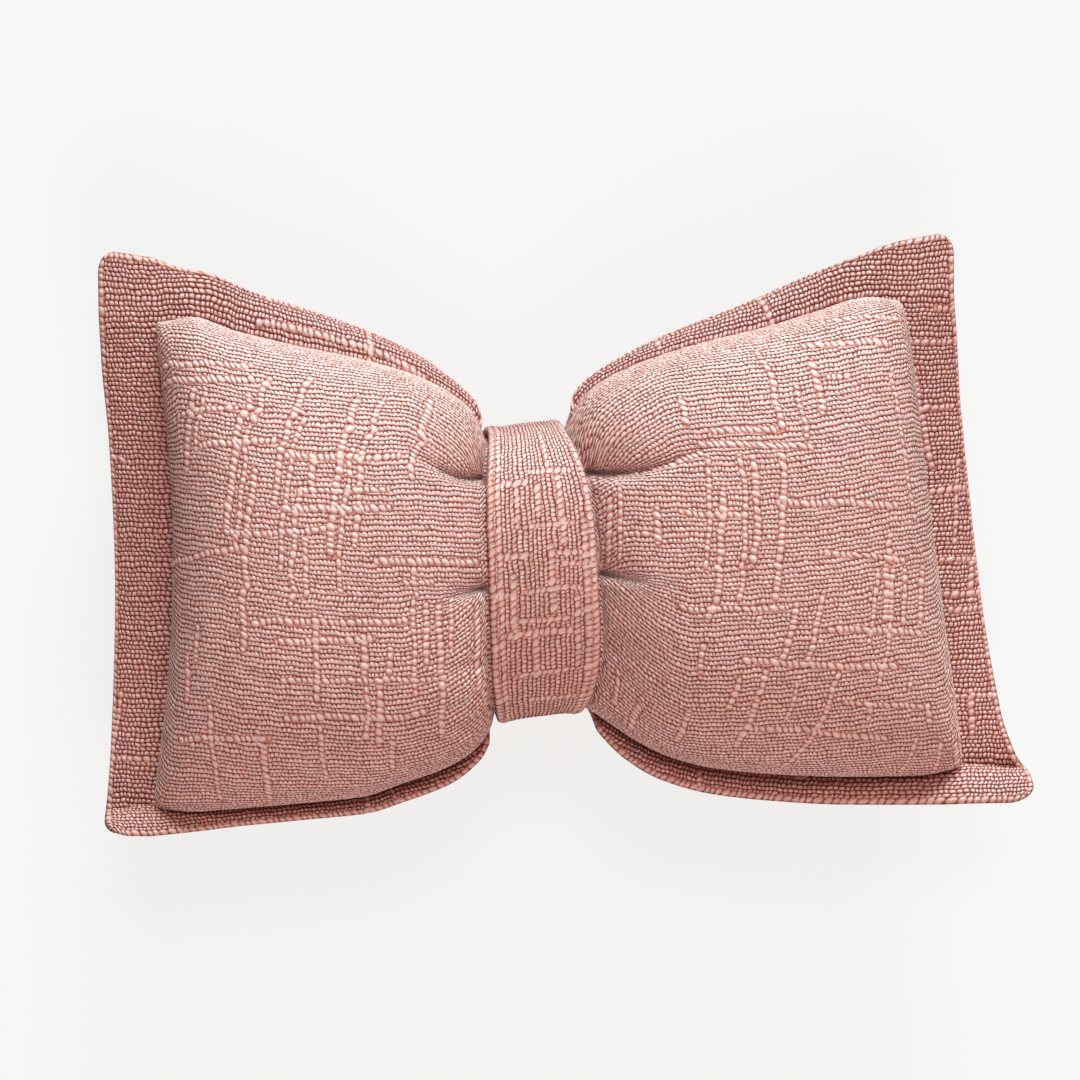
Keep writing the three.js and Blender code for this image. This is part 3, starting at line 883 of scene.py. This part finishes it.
def make_flange(side, material):
    at, across = seam_steps(side)
    steps = flange_steps()
    at_all = np.concatenate((np.full(len(steps) - 1, SEAMS[side]), at))
    p_all = np.concatenate((steps[:-1], np.zeros(len(at))))
    across_all = np.concatenate((np.full(len(steps) - 1, -1.0), across, np.full(len(steps) - 1, 1.0)))
    q_all = np.concatenate((steps[:-1], np.zeros(len(across)), steps[:-1][::-1]))
    k = len(steps) - 1
    n, m = len(at_all), len(across_all)
    at2, across2 = np.meshgrid(at_all, across_all, indexing="ij")
    p2, q2 = np.meshgrid(p_all, q_all, indexing="ij")
    middle = np.empty((n, m, 3))
    for end, chosen in (("top", across2[0] > 0), ("bottom", across2[0] <= 0)):
        p, q = round_tip(p2[:, chosen], q2[:, chosen], TIPS[side, end][1])
        middle[:, chosen] = flange_middle(side, end, at2[:, chosen], across2[:, chosen], p, q)
    normals = grid_normals(middle)
    if side == "right":
        normals = -normals
    # half thickness, rounded towards the free edge
    share = np.maximum(p2, q2)
    side_wide = side_reach(side, height_share(across2))
    top_wide, bottom_wide = flange_width("top", at2), flange_width("bottom", at2)
    reach = np.where(p2 >= q2, side_wide, np.where(across2 > 0, top_wide, bottom_wide))
    to_edge = (1 - share) * reach
    half = half_thickness(at2) * np.sqrt(1 - (1 - np.clip(to_edge / EDGE_ROUND, 0, 1)) ** 2)
    # cloth coordinates: rows lie along the top and bottom flange and across the side flange
    inside = path_lengths(np.stack(on_seam_plane(np.full_like(across, SEAMS[side]), across), -1))
    t_line = np.concatenate((np.full(k, 0.0), inside, np.full(k, inside[-1])))
    out_bottom = np.where(across2 < 0, q2, 0) * bottom_wide
    out_top = np.where(across2 > 0, q2, 0) * top_wide
    cut_x, cut_y = corner_cut(at2, height_share(across2))
    seamwards = (1 - share) ** 2
    t = t_line[None] - out_bottom + out_top + cut_y * seamwards
    s_line = path_lengths(np.stack(on_seam_plane(at_all, np.full(n, 0.999)), -1))
    s = s_line[:, None] - p2 * side_wide + np.abs(cut_x) * seamwards
    some = random_slubs({"left": 21, "right": 22}[side], (-30, 220), (-30, 330), 14, 6)
    seen = seen_slubs(side + " flange", middle, s, t)
    weave = Weave(s, t, [a + b for a, b in zip(some, seen)], PARTED["flange"])
    rolled = np.abs(to_edge - HEM_MIDDLE) / HEM_HALF
    weave.warp = np.where(p2 > q2, np.minimum(weave.warp, rolled), weave.warp)
    weave.weft = np.where(p2 <= q2, np.minimum(weave.weft, rolled), weave.weft)
    amount = smooth(-0.5, 2.0, to_edge) * np.where(share > 0, 1, 0.4)
    out = RELIEF * (mesh_height(weave) - GROUND) * amount
    raw, maps = [], new_maps()
    for face, sign in (("front", 1), ("back", -1)):
        raw.append(middle + normals * (sign * (half + out * (half > 0)))[..., None])
        weave.add_to(maps)
    keep = np.zeros((n - 1, m - 1), bool)
    keep[: k + INSIDE_SEAM, :] = True
    keep[:, : k + INSIDE_SEAM] = True
    keep[:, m - 1 - k - INSIDE_SEAM :] = True
    # bake map: the frame's own grid, with the front beside the back
    width = np.concatenate((np.linspace(0, 0.2, k + 1)[:-1], np.linspace(0.2, 1, n - k)))
    low, high = np.linspace(0, 0.12, k + 1)[:-1], np.linspace(0.88, 1, k + 1)[1:]
    height = np.concatenate((low, np.linspace(0.12, 0.88, m - 2 * k), high))
    for offset in (0.005, 0.505):
        u = offset + 0.485 * width[:, None] + 0 * height[None]
        v = 0.005 + 0.99 * height[None] + 0 * width[:, None]
        maps["OFBake"].append(np.stack([u, v], -1))
    points = joined(raw)
    maps = {label: joined(parts) for label, parts in maps.items()}
    front = np.arange(n * m).reshape(n, m)
    back = front + n * m
    weld = np.arange(2 * n * m)
    for shared in (back[0, :], back[:, 0], back[:, -1]):
        weld[shared] = shared - n * m
    quads = grid_quads(front, keep)
    behind = grid_quads(back, keep)[:, ::-1]
    rings = []
    used = np.pad(keep, 1)
    for i in range(n):
        for j in range(m - 1):
            if used[i, j + 1] != used[i + 1, j + 1] and 0 < i:
                ring = [front[i, j], front[i, j + 1], back[i, j + 1], back[i, j]]
                rings.append(ring if used[i, j + 1] else ring[::-1])
    for i in range(n - 1):
        for j in range(1, m - 1):
            if used[i + 1, j] != used[i + 1, j + 1]:
                ring = [front[i, j], front[i + 1, j], back[i + 1, j], back[i, j]]
                rings.append(ring[::-1] if used[i + 1, j] else ring)
    rings = [without_repeats(ring, weld) for ring in rings]
    rings = [ring for ring in rings if len(ring) > 2]
    if side == "right":
        quads, behind = quads[:, ::-1], behind[:, ::-1]
        rings = [ring[::-1] for ring in rings]
    faces = (np.concatenate((quads, behind)), rings)
    piece = make_piece("flange_" + side, points, faces, weld, maps, material)
    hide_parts("cushion")


# Cross-section of the band: across its width and out from the waist
BAND_PROFILE = (
    (-0.94, 0), (-1, 0.35), (-0.98, 0.8), (-0.92, 1), (-0.8, 0.98), (-0.68, 0.86), (0, 0.92),
    (0.68, 0.86), (0.8, 0.98), (0.92, 1), (0.98, 0.8), (1, 0.35), (0.94, 0), (0, 0),
)
BAND_STEPS = {"round front": 300, "round back": 150, "outer": 0.72, "inner": 4.0}  # counts, and mm

# Slubs of the band, its hems' edges among them: those round it as start, end and place across, those
# across it as place round the band, start, end and lean
BAND_COLUMNS = (
    (-50, 900, -30.2), (-50, 900, 30.2), (-50, 900, -25.4), (56, 96, 13), (60, 78, -1), (60, 84, -14),
    (98, 136, 5), (112, 150, -18), (128, 172, 19), (84, 900, 25.6), (20, 50, 8), (150, 176, -6),
)
BAND_RIDGES = (
    (52, -4, 22, 1), (58, -23, -8, 0), (85, -10, 18, -1), (101, -22, -8, 0), (101, 10, 22, 1),
    (108, 12, 28, 0), (123, -28, -18, 1), (123, -10, 20, -1), (140, -22, 14, 1), (148, -22, 14, 0),
    (175, -18, 16, -2), (194, -10, 20, 0),
)


def make_band(material):
    width = BAND_RIGHT - BAND_LEFT
    outline = np.array(BAND_PROFILE + BAND_PROFILE[:1]) * (width / 2, BAND_THICKNESS)
    # round the outline's corners by cutting them three times
    for _ in range(3):
        a, b = outline[:-1], outline[1:]
        cut = np.stack((a * 0.75 + b * 0.25, a * 0.25 + b * 0.75), 1).reshape(-1, 2)
        outline = np.concatenate((cut, cut[:1]))
    lengths = path_lengths(outline)
    # fine steps over the outer side, coarse ones underneath
    dense = np.linspace(0, lengths[-1], 4000)
    places = np.stack([np.interp(dense, lengths, outline[:, k]) for k in (0, 1)], -1)
    outer = places[:, 1] > 0.3 * BAND_THICKNESS
    fineness = np.where(outer, 1 / BAND_STEPS["outer"], 1 / BAND_STEPS["inner"])
    counted = running_total((fineness[1:] + fineness[:-1]) / 2 * np.diff(dense))
    m = int(round(counted[-1]))
    steps = np.interp(np.arange(m) / m * counted[-1], counted, dense)
    section_across = np.interp(steps, dense, places[:, 0]) / (width / 2)
    section_out = np.interp(steps, dense, places[:, 1]) / BAND_THICKNESS

    def ring_point(face, across, share, out):
        at = BAND_LEFT + width * (1 + share) / 2
        round_off = np.maximum(np.cos(across * pi / 2), 0) ** HEIGHT
        x, y = on_seam_plane(at, across)
        cloth = out * BAND_THICKNESS
        y = y + (BESIDE_WAIST + cloth) * height_share(across)
        over = section[face](at) + PRESSED_THICKNESS / 2 + OVER_WAIST + cloth
        z = (1 if face == "front" else -1) * round_off * over
        return np.stack(np.broadcast_arrays(x, y, z), -1)

    loops = []
    for face, low, high in (("front", 1.0, -1.0), ("back", -1.0, 1.0)):
        across = evenly_by_length(
            lambda v: ring_point(face, v[:, None], np.array([[-0.5, 0, 0.5]]), 1.0),
            low, high, BAND_STEPS["round " + face] + 1,
        )[:-1]
        loops.append(ring_point(face, across[:, None], section_across[None], section_out[None]))
    middle = np.concatenate(loops)
    n = len(middle)
    along = np.roll(middle, -1, 0) - np.roll(middle, 1, 0)
    round_about = np.roll(middle, -1, 1) - np.roll(middle, 1, 1)
    normals = unit(np.cross(round_about, along))
    s = path_lengths(middle[:, m // 4])[:, None] + 0 * section_across[None]
    t = section_across[None] * width / 2 + 0 * s
    columns = [[(low, across), (high, across)] for low, high, across in BAND_COLUMNS]
    ridges = [[(along, low), (along + lean, high)] for along, low, high, lean in BAND_RIDGES]
    weave = Weave(s, t, (ridges, columns), PARTED["band"])
    out = RELIEF * (mesh_height(weave) - GROUND) * (section_out[None] > 0.25)
    points = middle + normals * out[..., None]
    u = np.linspace(0, 1, n + 1)
    v = np.linspace(0, 1, m + 1)
    index = np.arange((n + 1) * (m + 1)).reshape(n + 1, m + 1)
    wrap = tuple(np.meshgrid(np.arange(n + 1) % n, np.arange(m + 1) % m, indexing="ij"))
    raw = joined([points[wrap]])
    weld = index[wrap].ravel()
    maps = new_maps()
    weave.add_to(maps)
    bake = np.stack(np.meshgrid(0.005 + 0.99 * u, 0.005 + 0.99 * v, indexing="ij"), -1)
    maps = {label: joined([part[wrap] for part in parts]) for label, parts in maps.items() if parts}
    maps["OFBake"] = joined([bake])
    piece = make_piece("band_loop", raw, (grid_quads(index), []), weld, maps, material)
    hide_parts("band")


# --- Cloth ---
FIBRE = {"scale": 900.0, "detail": 3.0, "colour": 0.42, "relief": 0.4}
PATCH = {"scale": 38.0, "detail": 2.0, "brightness": 0.16}
BEAD_TINT = 0.06
CLOTH_ROUGHNESS = 0.6
CLOTH_GLOSS = 1.15  # on the beads' tops; there is none in the holes


def make_cloth(name, parted, painted_shade_and_sheen):
    """Cloth coloured by the weave's height, from the bottom of its holes over its beads' feet to their
    tops: painted shade darkens the holes and a painted sheen makes the tops pale.
    """
    material = bpy.data.materials.new(name)
    material.use_nodes = True
    tree = material.node_tree
    nodes, links = tree.nodes, tree.links
    nodes.clear()

    def uv_pair(label):
        place = nodes.new("ShaderNodeUVMap")
        place.uv_map = label
        parts = nodes.new("ShaderNodeSeparateXYZ")
        links.new(place.outputs["UV"], parts.inputs[0])
        return Term(tree, parts.outputs[0]), Term(tree, parts.outputs[1])

    def noise(kind):
        node = nodes.new("ShaderNodeTexNoise")
        node.inputs["Scale"].default_value = kind["scale"]
        node.inputs["Detail"].default_value = kind["detail"]
        links.new(where.outputs["Object"], node.inputs["Vector"])
        return Term(tree, node.outputs[0])

    s, t = uv_pair("Weave")
    warp, weft = uv_pair("Slub")
    height = weave_height(s, t, warp, weft, parted)
    row, bead, _, _ = bead_cells(s, t)
    tint = sine(row * 7.3 + bead * 11.9)
    where = nodes.new("ShaderNodeTexCoord")
    fibre = noise(FIBRE)
    patch = noise(PATCH)

    colour = nodes.new("ShaderNodeValToRGB")
    stops = colour.color_ramp.elements
    stops.new(0.5)
    for stop, (place, shade) in zip(stops, painted_shade_and_sheen):
        stop.position = place
        stop.color = (*shade, 1)
    # painted shade and sheen: the lower the weave, the darker its colour, and the higher, the paler; a
    # slub's top is kept a little less pale
    on_slub = ramp(1.1, 0.8, least(warp, weft))
    shade = least(height, 0.98 - on_slub * 0.05) * 0.85 + (fibre - 0.5) * FIBRE["colour"]
    links.new(shade.socket, colour.inputs["Fac"])
    value = tint * BEAD_TINT + 1.0 + (patch - 0.5) * PATCH["brightness"]
    tinted = nodes.new("ShaderNodeHueSaturation")
    links.new(colour.outputs["Color"], tinted.inputs["Color"])
    links.new(value.socket, tinted.inputs["Value"])

    relief = height + (fibre - 0.5) * FIBRE["relief"]
    bump = nodes.new("ShaderNodeBump")
    bump.inputs["Strength"].default_value = 1.0
    bump.inputs["Distance"].default_value = RELIEF * MM
    links.new(relief.socket, bump.inputs["Height"])

    shader = nodes.new("ShaderNodeBsdfPrincipled")
    shader.inputs["Roughness"].default_value = CLOTH_ROUGHNESS
    gloss = ramp(0.35, 0.95, height) * CLOTH_GLOSS
    links.new(gloss.socket, shader.inputs["Specular IOR Level"])
    links.new(tinted.outputs["Color"], shader.inputs["Base Color"])
    links.new(bump.outputs["Normal"], shader.inputs["Normal"])
    output = nodes.new("ShaderNodeOutputMaterial")
    links.new(shader.outputs["BSDF"], output.inputs["Surface"])
    return material


# heights on the weave and the colours there: dark in the holes as painted shade, pale on the beads'
# tops as a painted sheen
COVER_PAINTED_SHADE_AND_SHEEN = ((0.08, (0.18, 0.038, 0.028)), (0.5, (0.50, 0.17, 0.13)), (0.92, (0.77, 0.50, 0.445)))
# the flange's colours are the cover's made darker: painted shade, for the flange lying in the lobes'
# shade
FLANGE_PAINTED_SHADE_AND_SHEEN = ((0.08, (0.13, 0.024, 0.017)), (0.5, (0.43, 0.13, 0.098)), (0.95, (0.69, 0.39, 0.34)))
# the band's colours are the cover's made a little darker: painted shade, for the band sunk between the
# lobes
BAND_PAINTED_SHADE_AND_SHEEN = ((0.08, (0.17, 0.034, 0.025)), (0.5, (0.48, 0.16, 0.122)), (0.95, (0.74, 0.46, 0.405)))
cover_cloth = make_cloth("cover cloth", PARTED["lobe"], COVER_PAINTED_SHADE_AND_SHEEN)
shaded_flange_cloth = make_cloth("shaded flange cloth", PARTED["flange"], FLANGE_PAINTED_SHADE_AND_SHEEN)
shaded_band_cloth = make_cloth("shaded band cloth", PARTED["band"], BAND_PAINTED_SHADE_AND_SHEEN)

for lobe_side in ("left", "right"):
    make_lobe(lobe_side, cover_cloth)
    make_flange(lobe_side, shaded_flange_cloth)
make_band(shaded_band_cloth)

# --- Floor and light ---
FLOOR_REACH = 4.0
WORLD_STRENGTH = 0.21
AIM = (0, 0, 0.05)


def floor_material():
    """Pale and lit from below as a light table is, so that shadows on it stay soft."""
    material = bpy.data.materials.new("floor")
    material.use_nodes = True
    shader = material.node_tree.nodes["Principled BSDF"]
    shader.inputs["Base Color"].default_value = (0.125, 0.122, 0.12, 1)
    shader.inputs["Roughness"].default_value = 0.9
    shader.inputs["Specular IOR Level"].default_value = 0.0
    shader.inputs["Emission Color"].default_value = (1.0, 0.985, 0.97, 1)
    shader.inputs["Emission Strength"].default_value = 0.778
    return material


def make_floor():
    mesh = bpy.data.meshes.new("floor")
    corners = [(x * FLOOR_REACH, y * FLOOR_REACH, 0) for x, y in ((-1, -1), (1, -1), (1, 1), (-1, 1))]
    mesh.from_pydata(corners, [], [(0, 1, 2, 3)])
    mesh.materials.append(floor_material())
    floor = bpy.data.objects.new("floor", mesh)
    bpy.context.scene.collection.objects.link(floor)
    floor.visible_glossy = False


def make_light(name, place, width, height, power, colour=(1, 1, 1), gloss=False):
    data = bpy.data.lights.new(name, "AREA")
    data.shape = "RECTANGLE"
    data.size, data.size_y = width, height
    data.energy = power
    data.color = colour
    light = bpy.data.objects.new(name, data)
    light.location = place
    light.rotation_euler = (Vector(AIM) - Vector(place)).to_track_quat("-Z", "Y").to_euler()
    light.visible_glossy = gloss
    bpy.context.scene.collection.objects.link(light)


def make_world():
    world = bpy.data.worlds.new("studio")
    world.use_nodes = True
    background = world.node_tree.nodes["Background"]
    background.inputs["Color"].default_value = (1.0, 0.995, 0.99, 1)
    background.inputs["Strength"].default_value = WORLD_STRENGTH
    bpy.context.scene.world = world
    world.cycles_visibility.glossy = False


make_floor()
make_light("top", (1.0, 8.7, 2.3), 4.5, 2.5, 1680, (0.66, 1.0, 1.07), True)
make_light("front", (0.0, 5.7, 7.6), 4.0, 2.5, 325, (1.04, 0.98, 0.955))
make_light("fill", (0.3, -2.0, 2.3), 2.0, 2.0, 64)
make_world()
bpy.context.scene.view_settings.view_transform = "Standard"
